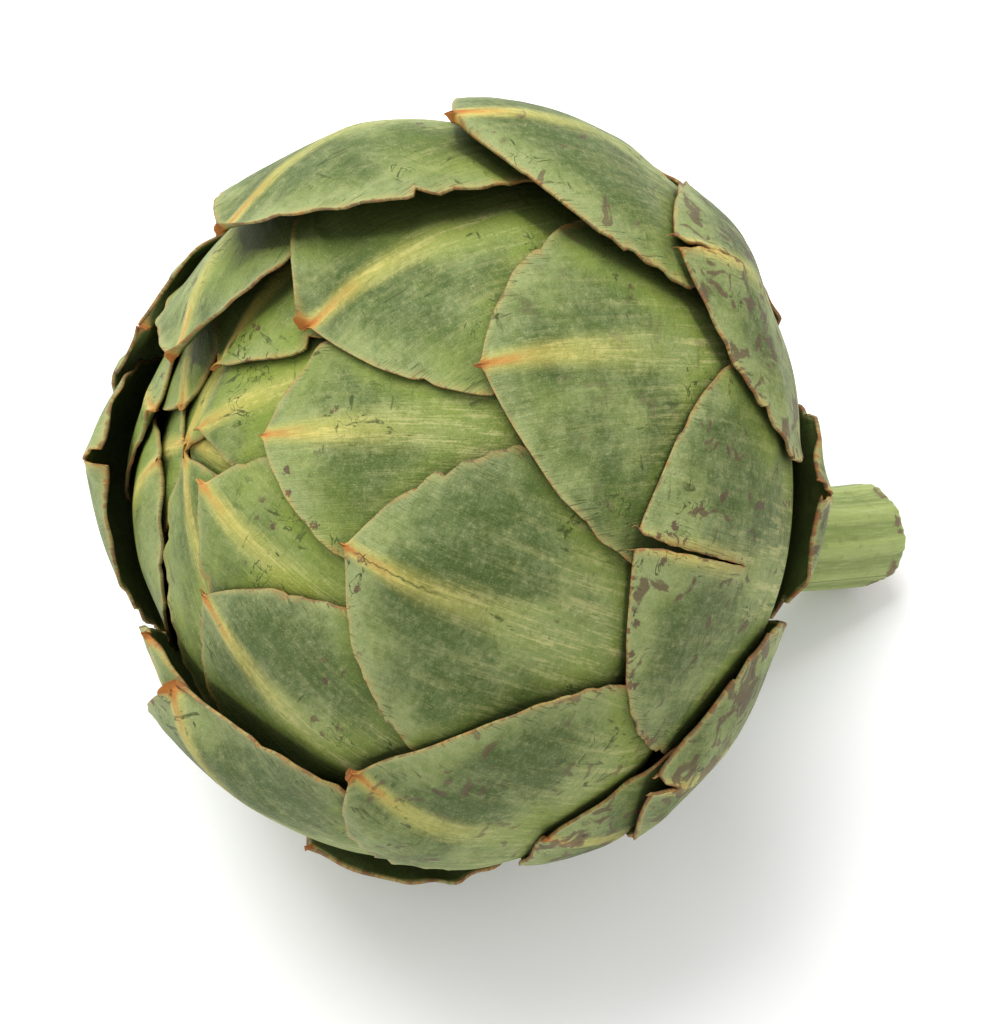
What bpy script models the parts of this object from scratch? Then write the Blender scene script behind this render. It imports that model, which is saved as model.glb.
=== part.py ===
"""A globe artichoke with a short cut stem, lying on its side.

Two solids are made: the head, whose bracts are fused to the heart they grow
from, and the stem. Metres, +Z up. The head's own axis runs from the stem to
the apex; it leans in the XZ plane, with the apex towards -X and up.
"""
import math

import bmesh
import bpy
import numpy as np
from mathutils import Vector

MM = 0.001

# The heart, on which the bracts lie one over another: its radius, its heights
# towards the apex and the stem, and the share by which its +Y side is pressed
# in, with the bracts that lie on it.
GIRTH = 46.2 * MM
TOP = 40.4 * MM
BASE = 34.5 * MM
FLAT_SIDE = 0.2
FLAT_SIDE_POWER = 3

# How the head lies.
APEX_RISE = math.radians(33)
CENTRE = Vector((13.5 * MM, 4.5 * MM, 46.5 * MM))

# The spiral in which the bracts grow. Bract 0 is the one at its middle;
# higher numbers sit nearer the apex, lower ones nearer the stem. The spiral
# leaves out one bract, as real ones do now and then.
DIVERGENCE = 99.5
FIRST_TURN = -17.0
OUTERMOST = -21
INNERMOST = 23
MISSING = 12

# How far a bract's tip is from the apex, in degrees: for bract 0, and what
# each step towards the apex takes off it at first and gives back later.
TIP_POLAR = 48.9
POLAR_STEP = 3.17
POLAR_EASE = 0.039

# A bract's blade. The pair of half widths runs from the apex's bracts to the
# outer ones, the pair of thicknesses from a blade's tip to its root. Outside
# bract SHORTER_FROM every blade is a little shorter and slimmer than the last.
BLADE_LENGTH = 42 * MM
BLADE_HALF_WIDTH = (16.5 * MM, 25.5 * MM)
FULL_WIDTH_FROM = 18
SHORTER_FROM = -8
SHORTEN = 0.045
SLIM = 0.03
TIP_ROUNDING = 9.5 * MM
TIP_POWER = 0.9
NARROWS_FROM = 0.45
ROOT_NARROWING = 0.45
BLADE_THICKNESS = (1.0 * MM, 1.8 * MM)
EDGE_THINNING = 0.35
SWELL = 0.9 * MM
SWELL_RISE = 6
SUNK = 2.5 * MM
LOOSE = 1.5 * MM
ROOT_SHARE = 0.2
ROOT_DEPTH = 4 * MM
TAUT_ROUNDS = 40
ROWS = 8
COLUMNS = 6
ROW_CROWDING = 1.5
FIRST_ROW = 0.03

# The stem.
STEM_RADIUS = 7.5 * MM
STEM_END = Vector((CENTRE.x + 59.3 * MM, CENTRE.y + 5.9 * MM, 6.3 * MM))
STEM_RIBS = 9
STEM_RIB_HEIGHT = 0.35 * MM
STEM_BEND = 24 * MM
STEM_FLARE = 0.12
STEM_ROOT = 6 * MM
STEM_SIDES = 36
STEM_RINGS = 10
GAP = 0.3 * MM

# What sets single bracts apart. "tip" and "turn" move the tip away from the
# apex and round it and "lean" swings the blade, in degrees. "lift" raises the
# free tip, in millimetres. A higher "hold" keeps the lift nearer the tip, and
# "cup" holds the edges down as the tip rises, or raises them where it is
# negative. "width", "length" and "blunt" are factors, and "skew" widens one
# side.
QUIRKS = {
    23: {"tip": -2},
    16: {"turn": -20},
    14: {"turn": 4},
    11: {"tip": 1, "turn": 3, "lean": 4},
    10: {"tip": -10, "turn": -6, "lift": 2.5, "cup": -0.5, "hold": 1},
    9: {"tip": -2, "turn": -12, "lift": 4.3, "cup": 0.3, "hold": 1.2},
    8: {"tip": -3, "turn": -8, "lean": 10},
    7: {"turn": -2, "lean": 15, "width": 1.2},
    6: {"tip": -2, "turn": 5, "lift": 2, "hold": 1.2},
    5: {"tip": -3, "turn": 10, "lift": 3, "cup": 0.3},
    4: {"tip": 1, "turn": 3, "lean": -5},
    3: {"tip": -12, "lift": 2.6, "length": 1.2, "width": 0.93, "cup": -0.5, "hold": 0.9},
    2: {"tip": 10},
    1: {"tip": -11, "turn": -9, "lift": 1.4, "length": 1.2, "width": 0.95, "cup": -0.8, "hold": 0.9},
    0: {"tip": 4, "turn": 1, "lean": 10, "skew": -0.16},
    -1: {"tip": 12},
    -3: {"tip": -3, "turn": -14, "skew": 0.2, "lift": 0.5},
    -4: {"tip": -4, "turn": 5, "lift": 3.8},
    -6: {"tip": 13, "turn": -4, "lift": 2.8, "cup": -0.3},
    -7: {"tip": 4, "turn": 2, "lean": -3, "blunt": 0.6},
    -8: {"tip": 12},
    -10: {"tip": 4, "turn": 12, "length": 0.9},
    -11: {"tip": -5, "turn": 6},
    -14: {"tip": -3, "turn": -10, "lift": 0.6},
    -15: {"tip": 8},
    -18: {"tip": 2, "width": 1.1, "lift": 2.5},
}

APEX = np.array((-math.cos(APEX_RISE), 0, math.sin(APEX_RISE)))
SKY = np.array((math.sin(APEX_RISE), 0, math.cos(APEX_RISE)))
SIDE = np.array((0, 1, 0))


def blend(pair, share):
    """The value between a pair's two, at a share from 0 to 1."""
    return pair[0] + (pair[1] - pair[0]) * share


def directions(polar, turn):
    """Unit vectors in the head's frame, from angles off its axis and round it."""
    return np.stack([np.sin(polar) * np.cos(turn), np.sin(polar) * np.sin(turn), np.cos(polar)], -1)


def place(direction, height):
    """World points at a height over the heart, along its surface normal."""
    along = np.where(direction[..., 2:] > 0, TOP, BASE)
    across = np.full_like(along, GIRTH)
    point = direction * np.concatenate([across, across, along], -1)
    normal = direction * np.concatenate([along, along, across], -1)
    normal /= np.linalg.norm(normal, axis=-1, keepdims=True)
    local = point + normal * np.asarray(height)[..., None]
    local[..., 1] *= 1 - FLAT_SIDE * np.clip(local[..., 1] / GIRTH, 0, 1) ** FLAT_SIDE_POWER
    return np.array(CENTRE) + local[..., :1] * SKY + local[..., 1:2] * SIDE + local[..., 2:] * APEX


class Pile:
    """The height of everything laid on the heart so far, on a grid of angles."""

    def __init__(self, rows=121, columns=240):
        self.rows = rows
        self.columns = columns
        self.height = np.zeros((rows, columns))
        polar, turn = np.meshgrid(np.linspace(0, math.pi, rows),
                                  np.arange(columns) * 2 * math.pi / columns, indexing="ij")
        self.direction = directions(polar, turn)

    def at(self, direction):
        """The height under each direction, blended from the four grid points round it."""
        row = np.arccos(np.clip(direction[..., 2], -1, 1)) / math.pi * (self.rows - 1)
        column = np.arctan2(direction[..., 1], direction[..., 0]) / (2 * math.pi) * self.columns
        low_row = np.clip(np.floor(row).astype(int), 0, self.rows - 2)
        low_column = np.floor(column).astype(int)
        across = column - low_column
        down = row - low_row
        low_column = low_column % self.columns
        high_column = (low_column + 1) % self.columns
        near = blend((self.height[low_row, low_column], self.height[low_row, high_column]), across)
        far = blend((self.height[low_row + 1, low_column], self.height[low_row + 1, high_column]), across)
        return blend((near, far), down)


class Bract:
    """One bract: where its tip is, its outline, and the sheet it forms when laid."""

    def __init__(self, number, turn=0, tip=0, lean=0, width=1, length=1, blunt=1, skew=0,
                 lift=0, cup=0.25, hold=1.6):
        self.number = number
        # the blades are widest low on the head and shorten again close to the stem
        outer = min(1, max(0, 1 - number / FULL_WIDTH_FROM))
        shrink = max(0, SHORTER_FROM - number)
        self.length = BLADE_LENGTH * length * (1 - SHORTEN * shrink)
        self.width = blend(BLADE_HALF_WIDTH, outer) * width * (1 - SLIM * shrink)
        self.rounding = TIP_ROUNDING * blunt
        self.skew = skew
        self.cup = cup
        self.hold = hold
        self.lift = lift * MM
        # the tips step down from the apex more slowly the nearer they are to it
        polar = math.radians(TIP_POLAR - POLAR_STEP * number + POLAR_EASE * number ** 2 + tip)
        around = math.radians(FIRST_TURN - DIVERGENCE * number + turn)
        self.tip = directions(np.array(polar), np.array(around))
        down = directions(np.array(polar + math.pi / 2), np.array(around))
        across = np.cross(self.tip, down)
        swing = math.radians(lean)
        self.down = down * math.cos(swing) + across * math.sin(swing)
        self.across = np.cross(self.tip, self.down)

    def half_width(self, down, side):
        """The blade's width from its midrib to one side, at a distance down from its tip."""
        rounded = self.width * (1 - np.exp(-(np.maximum(down, 0) / self.rounding) ** TIP_POWER))
        narrowing = np.clip((down / self.length - NARROWS_FROM) / (1 - NARROWS_FROM), 0, 1)
        return rounded * (1 - ROOT_NARROWING * narrowing ** 2) * (1 + self.skew * np.sign(side))

    def direction(self, down, aside):
        """The direction from the head's centre of a place on the blade."""
        down = (down / GIRTH)[..., None]
        aside = (aside / GIRTH)[..., None]
        along = np.cos(down) * self.tip + np.sin(down) * self.down
        return np.cos(aside) * along + np.sin(aside) * self.across

    def where(self, direction):
        """The place on the blade, down and aside, of each direction."""
        aside = np.arcsin(np.clip(direction @ self.across, -1, 1)) * GIRTH
        down = np.arctan2(direction @ self.down, direction @ self.tip) * GIRTH
        return down, aside

    def lay(self, pile, rows=33, columns=25):
        """Lays a taut sheet over the pile, lifts its free tip and adds it to the pile."""
        share, side = np.meshgrid(np.linspace(0, 1, rows), np.linspace(-1, 1, columns), indexing="ij")
        down = share * self.length
        under = pile.at(self.direction(down, side * self.half_width(down, side)))
        sheet = under.copy()
        for _ in range(TAUT_ROUNDS):
            wide = np.pad(sheet, 1, mode="edge")
            even = (wide[:-2, 1:-1] + wide[2:, 1:-1] + wide[1:-1, :-2] + wide[1:-1, 2:]) / 4
            sheet = np.maximum(even, under)
        swell = SWELL * (1 - side ** 2) * np.clip(share * SWELL_RISE, 0, 1)
        free = self.lift * (1 - share) ** self.hold * (1 - self.cup * side ** 2)
        thick = blend(BLADE_THICKNESS, share) * (1 - EDGE_THINNING * side ** 2)
        self.outer = sheet + swell + free + thick
        # a tip that stands free keeps its true thickness; the rest is solid down to the pile
        loose = np.clip(free / LOOSE, 0, 1)
        solid = (under - SUNK) * (1 - loose) + (self.outer - thick) * loose
        self.inner = np.minimum(solid, self.outer - thick)
        self.pile_up(pile)

    def sample(self, field, share, side):
        """A field of the laid sheet, blended at a share of its length and a side."""
        row = np.clip(share, 0, 1) * (field.shape[0] - 1)
        column = (np.clip(side, -1, 1) + 1) / 2 * (field.shape[1] - 1)
        low_row = np.minimum(row.astype(int), field.shape[0] - 2)
        low_column = np.minimum(column.astype(int), field.shape[1] - 2)
        down = row - low_row
        across = column - low_column
        near = blend((field[low_row, low_column], field[low_row, low_column + 1]), across)
        far = blend((field[low_row + 1, low_column], field[low_row + 1, low_column + 1]), across)
        return blend((near, far), down)

    def pile_up(self, pile):
        """Raises the pile wherever this blade now covers it."""
        down, aside = self.where(pile.direction)
        half = self.half_width(down, aside)
        inside = (down > 0) & (down < self.length) & (np.abs(aside) < half)
        outer = self.sample(self.outer, down / self.length, aside / np.maximum(half, MM / 10))
        pile.height = np.where(inside, np.maximum(pile.height, outer), pile.height)


def lay_bracts():
    """Lays every bract, from the innermost outwards."""
    pile = Pile()
    bracts = []
    for number in range(INNERMOST, OUTERMOST - 1, -1):
        if number == MISSING:
            continue
        bract = Bract(number, **QUIRKS.get(number, {}))
        bract.lay(pile)
        bracts.append(bract)
    return bracts


def new_object(name, mesh):
    """An object for a mesh, linked into the scene."""
    thing = bpy.data.objects.new(name, mesh)
    bpy.context.scene.collection.objects.link(thing)
    return thing


def mesh_of(name, points, faces):
    """A mesh of triangles with its faces turned outwards."""
    work = bmesh.new()
    vertices = [work.verts.new(point) for point in points]
    for face in faces:
        work.faces.new([vertices[index] for index in face])
    bmesh.ops.recalc_face_normals(work, faces=work.faces)
    bmesh.ops.triangulate(work, faces=work.faces)
    mesh = bpy.data.meshes.new(name)
    work.to_mesh(mesh)
    work.free()
    return mesh


def blade_mesh(bract):
    """A closed blade: two like grids of triangles joined round their rim."""
    # the rows crowd towards the tip, where the outline turns fastest
    share = np.linspace(0, 1, ROWS + 1)[:, None] ** ROW_CROWDING
    side = np.sin(np.linspace(-1, 1, COLUMNS + 1) * math.pi / 2)[None, :]
    share, side = np.broadcast_arrays(share * (1 - FIRST_ROW) + FIRST_ROW, side)
    down = share * bract.length
    aim = bract.direction(down, side * bract.half_width(down, side))
    root = np.clip((share - 1) / ROOT_SHARE + 1, 0, 1) ** 2
    outer = bract.sample(bract.outer, share, side) * (1 - root) - ROOT_DEPTH / 2 * root
    inner = bract.sample(bract.inner, share, side) * (1 - root) - ROOT_DEPTH * root
    points = np.concatenate([place(aim, outer).reshape(-1, 3), place(aim, inner).reshape(-1, 3)])
    wide = COLUMNS + 1
    under = (ROWS + 1) * wide
    faces = []
    for row in range(ROWS):
        for column in range(COLUMNS):
            a = row * wide + column
            # the diagonal is the same on both faces
            for triangle in ((a, a + 1, a + wide + 1), (a, a + wide + 1, a + wide)):
                faces.append(triangle)
                faces.append([index + under for index in reversed(triangle)])
    rim = [column for column in range(COLUMNS)]
    rim += [row * wide + COLUMNS for row in range(ROWS)]
    rim += [ROWS * wide + COLUMNS - column for column in range(COLUMNS)]
    rim += [(ROWS - row) * wide for row in range(ROWS)]
    for first, second in zip(rim, rim[1:] + rim[:1]):
        faces.append((first, second, second + under, first + under))
    return mesh_of("blade", points, faces)


def heart_mesh(rings=14, sides=28):
    """The egg-shaped heart, a little inside the bracts."""
    polar, turn = np.meshgrid(np.linspace(0, math.pi, rings + 1)[1:-1],
                              np.arange(sides) * 2 * math.pi / sides, indexing="ij")
    aim = directions(polar, turn)
    points = list(place(aim, np.zeros(polar.shape)).reshape(-1, 3))
    ends = [np.array((0, 0, 1.0)), np.array((0, 0, -1.0))]
    points += [place(end, np.array(0.0)) for end in ends]
    top = (rings - 1) * sides
    faces = []
    for side in range(sides):
        beside = (side + 1) % sides
        faces.append((top, side, beside))
        for ring in range(rings - 2):
            a = ring * sides
            faces.append((a + side, a + sides + side, a + sides + beside, a + beside))
        last = (rings - 2) * sides
        faces.append((last + side, top + 1, last + beside))
    return mesh_of("heart", points, faces)


def stem_mesh(grow=0.0):
    """The ribbed, slightly bent stem, from inside the head to its cut end."""
    start = np.array(CENTRE) - APEX * (BASE - STEM_ROOT - grow)
    end = np.array(STEM_END)
    bend = start - APEX * STEM_BEND
    points = []
    for ring in range(STEM_RINGS + 1):
        step = ring / STEM_RINGS
        middle = start * (1 - step) ** 2 + bend * 2 * step * (1 - step) + end * step ** 2
        ahead = (bend - start) * (1 - step) + (end - bend) * step
        ahead /= np.linalg.norm(ahead)
        level = np.cross(ahead, (0, 0, 1))
        level /= np.linalg.norm(level)
        up = np.cross(level, ahead)
        flare = 1 + STEM_FLARE * (1 - step) ** 4
        for side in range(STEM_SIDES):
            angle = side * 2 * math.pi / STEM_SIDES
            rib = STEM_RIB_HEIGHT * math.cos(STEM_RIBS * angle)
            radius = STEM_RADIUS * flare + rib + grow
            point = middle + radius * (level * math.cos(angle) + up * math.sin(angle))
            point[2] = max(point[2], -grow)
            points.append(point)
    faces = []
    for ring in range(STEM_RINGS):
        for side in range(STEM_SIDES):
            beside = (side + 1) % STEM_SIDES
            a = ring * STEM_SIDES
            faces.append((a + side, a + beside, a + STEM_SIDES + beside, a + STEM_SIDES + side))
    faces.append(range(STEM_SIDES))
    faces.append(range(STEM_RINGS * STEM_SIDES, (STEM_RINGS + 1) * STEM_SIDES))
    return mesh_of("stem", points, faces)


def cut(thing, mesh):
    """Cuts a mesh out of an object and applies the result."""
    tool = new_object("tool", mesh)
    boolean = thing.modifiers.new("cut", "BOOLEAN")
    boolean.operation = "DIFFERENCE"
    boolean.object = tool
    apply_modifiers(thing)
    bpy.data.objects.remove(tool)


def apply_modifiers(thing):
    """Turns an object's evaluated shape into its mesh."""
    evaluated = thing.evaluated_get(bpy.context.evaluated_depsgraph_get())
    mesh = bpy.data.meshes.new_from_object(evaluated)
    thing.modifiers.clear()
    thing.data = mesh


def keep_outer_body(thing):
    """Drops loose scraps and the skins of sealed hollows, and keeps the largest body."""
    work = bmesh.new()
    work.from_mesh(thing.data)
    bmesh.ops.triangulate(work, faces=work.faces)
    unseen = set(work.faces)
    bodies = []
    while unseen:
        body = []
        edge_of_body = [unseen.pop()]
        while edge_of_body:
            face = edge_of_body.pop()
            body.append(face)
            for edge in face.edges:
                for other in edge.link_faces:
                    if other in unseen:
                        unseen.remove(other)
                        edge_of_body.append(other)
        bodies.append(body)
    bodies.sort(key=len)
    scraps = [face for body in bodies[:-1] for face in body]
    bmesh.ops.delete(work, geom=scraps, context="FACES")
    work.to_mesh(thing.data)
    work.free()


def box_below_floor(side=300 * MM, depth=20 * MM):
    """A block whose top is the surface the artichoke rests on."""
    work = bmesh.new()
    bmesh.ops.create_cube(work, size=1)
    bmesh.ops.scale(work, vec=(side, side, depth), verts=work.verts)
    bmesh.ops.translate(work, vec=(0, 0, -depth / 2), verts=work.verts)
    mesh = bpy.data.meshes.new("floor")
    work.to_mesh(mesh)
    work.free()
    return mesh


def make_head():
    """The heart with all its bracts fused to it, and its small flat resting spot."""
    head = new_object("head", heart_mesh())
    blades = bpy.data.collections.new("blades")
    for bract in lay_bracts():
        blades.objects.link(bpy.data.objects.new("blade", blade_mesh(bract)))
    bpy.context.scene.collection.children.link(blades)
    union = head.modifiers.new("fuse", "BOOLEAN")
    union.operation = "UNION"
    union.operand_type = "COLLECTION"
    union.collection = blades
    union.solver = "MANIFOLD"
    apply_modifiers(head)
    for blade in list(blades.objects):
        bpy.data.objects.remove(blade)
    bpy.data.collections.remove(blades)
    keep_outer_body(head)
    cut(head, box_below_floor())
    cut(head, stem_mesh(grow=GAP))
    keep_outer_body(head)
    return head


def material(name, colour, roughness):
    """A plain finish for one piece."""
    finish = bpy.data.materials.new(name)
    finish.use_nodes = True
    shader = finish.node_tree.nodes["Principled BSDF"]
    shader.inputs["Base Color"].default_value = (*colour, 1)
    shader.inputs["Roughness"].default_value = roughness
    shader.inputs["Metallic"].default_value = 0
    return finish


def main():
    for thing in list(bpy.data.objects):
        bpy.data.objects.remove(thing)
    head = make_head()
    head.data.materials.append(material("bracts", (0.23, 0.30, 0.12), 0.6))
    stem = new_object("stem", stem_mesh())
    stem.data.materials.append(material("stem", (0.36, 0.45, 0.18), 0.55))


main()
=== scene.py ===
# %% [markdown]
# # An artichoke lying on its side
#
# A globe artichoke is a flower bud. Its green scales are called bracts. They
# grow in a spiral from one fleshy heart, and each lies over the ones that grew
# after it. The plan here is to repeat that growth: the bracts are laid on the
# heart one at a time, from the innermost outwards, and each is a taut sheet
# over what already lies there. That gives real overlaps, steps and gaps, which
# no bump map on a ball could.

# %% Start from the frame
import math

import bmesh
import bpy
import numpy as np
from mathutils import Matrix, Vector


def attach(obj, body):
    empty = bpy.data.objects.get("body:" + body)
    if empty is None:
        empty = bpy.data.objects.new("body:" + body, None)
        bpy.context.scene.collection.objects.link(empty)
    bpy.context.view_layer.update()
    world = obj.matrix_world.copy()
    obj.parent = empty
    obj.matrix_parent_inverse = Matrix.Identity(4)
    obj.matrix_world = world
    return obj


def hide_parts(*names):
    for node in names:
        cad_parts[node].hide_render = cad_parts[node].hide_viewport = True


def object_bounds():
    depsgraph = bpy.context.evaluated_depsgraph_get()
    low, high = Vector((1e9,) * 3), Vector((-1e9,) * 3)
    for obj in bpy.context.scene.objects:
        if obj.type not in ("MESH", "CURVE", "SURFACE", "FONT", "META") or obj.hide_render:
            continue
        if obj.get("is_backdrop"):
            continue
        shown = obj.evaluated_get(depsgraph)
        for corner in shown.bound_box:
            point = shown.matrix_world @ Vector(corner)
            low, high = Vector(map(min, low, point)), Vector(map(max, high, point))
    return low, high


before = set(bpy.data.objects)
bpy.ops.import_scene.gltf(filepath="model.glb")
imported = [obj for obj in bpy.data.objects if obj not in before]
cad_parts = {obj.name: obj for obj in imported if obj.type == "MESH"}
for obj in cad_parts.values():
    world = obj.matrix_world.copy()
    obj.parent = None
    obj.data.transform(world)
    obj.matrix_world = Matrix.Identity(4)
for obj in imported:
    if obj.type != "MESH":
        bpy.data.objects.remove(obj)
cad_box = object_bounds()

MM = 0.001
print("the solids' box in mm:", [[round(side / MM, 1) for side in corner] for corner in cad_box])

# %% [markdown]
# ## How the head lies
#
# The head's axis runs from the stem to the apex. It leans, because the head
# rests on one flattened spot and on the stem's end. Every bract is worked out
# in the head's own frame, with the apex up, and is turned into place at the
# end. The heart is two half ellipsoids: the one towards the apex is longer.
# One side of the head is pressed a little flat, as a head gets in its crate.

# %% The head's frame
GIRTH = 46.2 * MM
TOP = 40.4 * MM
BASE = 34.5 * MM
FLAT_SIDE = 0.2
FLAT_SIDE_POWER = 3
APEX_RISE = math.radians(33)
CENTRE = np.array((13.5 * MM, 4.5 * MM, 46.5 * MM))
APEX = np.array((-math.cos(APEX_RISE), 0, math.sin(APEX_RISE)))
SKY = np.array((math.sin(APEX_RISE), 0, math.cos(APEX_RISE)))
SIDE = np.array((0, 1, 0))


def directions(polar, turn):
    """Unit vectors in the head's frame, from angles off its axis and round it."""
    return np.stack([np.sin(polar) * np.cos(turn), np.sin(polar) * np.sin(turn), np.cos(polar)], -1)


def place(direction, height):
    """World points at a height over the heart, along its surface normal."""
    along = np.where(direction[..., 2:] > 0, TOP, BASE)
    across = np.full_like(along, GIRTH)
    point = direction * np.concatenate([across, across, along], -1)
    normal = direction * np.concatenate([along, along, across], -1)
    normal /= np.linalg.norm(normal, axis=-1, keepdims=True)
    local = point + normal * np.asarray(height)[..., None]
    local[..., 1] *= 1 - FLAT_SIDE * np.clip(local[..., 1] / GIRTH, 0, 1) ** FLAT_SIDE_POWER
    return CENTRE + local[..., :1] * SKY + local[..., 1:2] * SIDE + local[..., 2:] * APEX


print("the apex points along", np.round(APEX, 2))

# %% [markdown]
# ## The pile
#
# To lay a bract on the others, one thing must be known everywhere on the
# heart: how high everything laid so far stands. A grid of angles holds that
# height. A ray cast against real meshes would give the same answer, but a
# grid is quicker and has no holes.

# %% The height of everything laid so far
def blend(pair, share):
    """The value between a pair's two, at a share from 0 to 1."""
    return pair[0] + (pair[1] - pair[0]) * share


class Pile:
    """The height of everything laid on the heart so far, on a grid of angles."""

    def __init__(self, rows=181, columns=360):
        self.rows = rows
        self.columns = columns
        self.height = np.zeros((rows, columns))
        polar, turn = np.meshgrid(np.linspace(0, math.pi, rows),
                                  np.arange(columns) * 2 * math.pi / columns, indexing="ij")
        self.direction = directions(polar, turn)

    def at(self, direction):
        """The height under each direction, blended from the four grid points round it."""
        row = np.arccos(np.clip(direction[..., 2], -1, 1)) / math.pi * (self.rows - 1)
        column = np.arctan2(direction[..., 1], direction[..., 0]) / (2 * math.pi) * self.columns
        low_row = np.clip(np.floor(row).astype(int), 0, self.rows - 2)
        low_column = np.floor(column).astype(int)
        across = column - low_column
        down = row - low_row
        low_column = low_column % self.columns
        high_column = (low_column + 1) % self.columns
        high_row = low_row + 1
        near = blend((self.height[low_row, low_column], self.height[low_row, high_column]), across)
        far = blend((self.height[high_row, low_column], self.height[high_row, high_column]), across)
        return blend((near, far), down)


print("the pile's grid has", Pile().height.size, "places")

# %% [markdown]
# ## Where the bracts grow
#
# On most plants the next leaf stands 137.5 degrees round from the last. This
# head follows the rarer angle of 99.5 degrees. The tips step down from the
# apex, quickly at first and then more slowly. Bract 0 is at the middle of the
# spiral; higher numbers sit nearer the apex and lower ones nearer the stem.
# One bract of the spiral is missing, as happens on real heads.
#
# No two bracts are quite alike, so a short list of quirks sets single ones
# apart. "tip" and "turn" move the tip away from the apex and round it, and
# "lean" swings the blade, in degrees. "lift" raises the free tip in
# millimetres; a higher "hold" keeps the lift nearer the tip, and "cup" holds
# the edges down as the tip rises, or raises them where it is negative.
# "width", "length" and "blunt" are factors, and "skew" widens one side.
# "tear" is how far the tip is torn down its middle, in millimetres, and
# "crack" marks a midrib that has cracked without tearing.

# %% The rule, and the bracts that depart from it
DIVERGENCE = 99.5
FIRST_TURN = -17.0
OUTERMOST = -21
INNERMOST = 23
MISSING = 12
TIP_POLAR = 48.9
POLAR_STEP = 3.17
POLAR_EASE = 0.039

QUIRKS = {
    23: {"tip": -2},
    16: {"turn": -20},
    14: {"turn": 4},
    11: {"tip": 1, "turn": 3, "lean": 4},
    10: {"tip": -10, "turn": -6, "lift": 2.5, "cup": -0.5, "hold": 1},
    9: {"tip": -2, "turn": -12, "lift": 4.3, "cup": 0.3, "hold": 1.2, "tear": 4},
    8: {"tip": -3, "turn": -8, "lean": 10},
    7: {"turn": -2, "lean": 15, "width": 1.2},
    6: {"tip": -2, "turn": 5, "lift": 2, "hold": 1.2},
    5: {"tip": -3, "turn": 10, "lift": 3, "cup": 0.3},
    4: {"tip": 1, "turn": 3, "lean": -5, "crack": 1},
    3: {"tip": -12, "lift": 2.6, "length": 1.2, "width": 0.93, "cup": -0.5, "hold": 0.9},
    2: {"tip": 10},
    1: {"tip": -11, "turn": -9, "lift": 1.4, "length": 1.2, "width": 0.95, "cup": -0.8, "hold": 0.9},
    0: {"tip": 4, "turn": 1, "lean": 10, "skew": -0.16},
    -1: {"tip": 12},
    -3: {"tip": -3, "turn": -14, "skew": 0.2, "lift": 0.5},
    -4: {"tip": -4, "turn": 5, "lift": 3.8},
    -6: {"tip": 13, "turn": -4, "lift": 2.8, "cup": -0.3},
    -7: {"tip": 4, "turn": 2, "lean": -3, "blunt": 0.6, "tear": 19},
    -8: {"tip": 12},
    -10: {"tip": 4, "turn": 12, "length": 0.9},
    -11: {"tip": -5, "turn": 6, "tear": 11},
    -14: {"tip": -3, "turn": -10, "lift": 0.6, "tear": 4},
    -15: {"tip": 8},
    -18: {"tip": 2, "width": 1.1, "lift": 2.5, "tear": 5},
}
numbers = [number for number in range(INNERMOST, OUTERMOST - 1, -1) if number != MISSING]
print(len(numbers), "bracts,", sum("tear" in quirk for quirk in QUIRKS.values()), "with a torn tip")

# %% [markdown]
# ## One bract
#
# A bract is a broad blade: blunt at the tip, widest half way down and narrower
# where it joins the heart. Its outline is a curve that rises quickly from the
# tip and levels off. A place on it is given by two lengths, down from the tip
# and aside from the midrib, which are laid on the head along great circles, so
# that a bract can cross the apex without being pinched there.
#
# Laying it is a small relaxation: each point of the sheet moves to the mean of
# its neighbours, but never below the pile. After some rounds the sheet is as
# smooth as a real bract pressed on its neighbours. Then its free tip lifts.
#
# The blades are widest low on the head and get shorter and slimmer again
# close to the stem.

# %% The bract's outline and how it is laid
BLADE_LENGTH = 42 * MM
BLADE_HALF_WIDTH = (16.5 * MM, 25.5 * MM)
FULL_WIDTH_FROM = 18
SHORTER_FROM = -8
SHORTEN = 0.045
SLIM = 0.03
TIP_ROUNDING = 9.5 * MM
TIP_POWER = 0.9
NARROWS_FROM = 0.45
ROOT_NARROWING = 0.45
BLADE_THICKNESS = (1.0 * MM, 1.8 * MM)
EDGE_THINNING = 0.35
SWELL = 0.9 * MM
SWELL_RISE = 6
TAUT_ROUNDS = 40


def sample(field, share, side):
    """A field on a blade's grid, blended at a share of its length and a side from -1 to 1."""
    row = np.clip(share, 0, 1) * (field.shape[0] - 1)
    column = (np.clip(side, -1, 1) + 1) / 2 * (field.shape[1] - 1)
    low_row = np.minimum(row.astype(int), field.shape[0] - 2)
    low_column = np.minimum(column.astype(int), field.shape[1] - 2)
    down = row - low_row
    across = column - low_column
    near = blend((field[low_row, low_column], field[low_row, low_column + 1]), across)
    far = blend((field[low_row + 1, low_column], field[low_row + 1, low_column + 1]), across)
    return blend((near, far), down)


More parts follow.
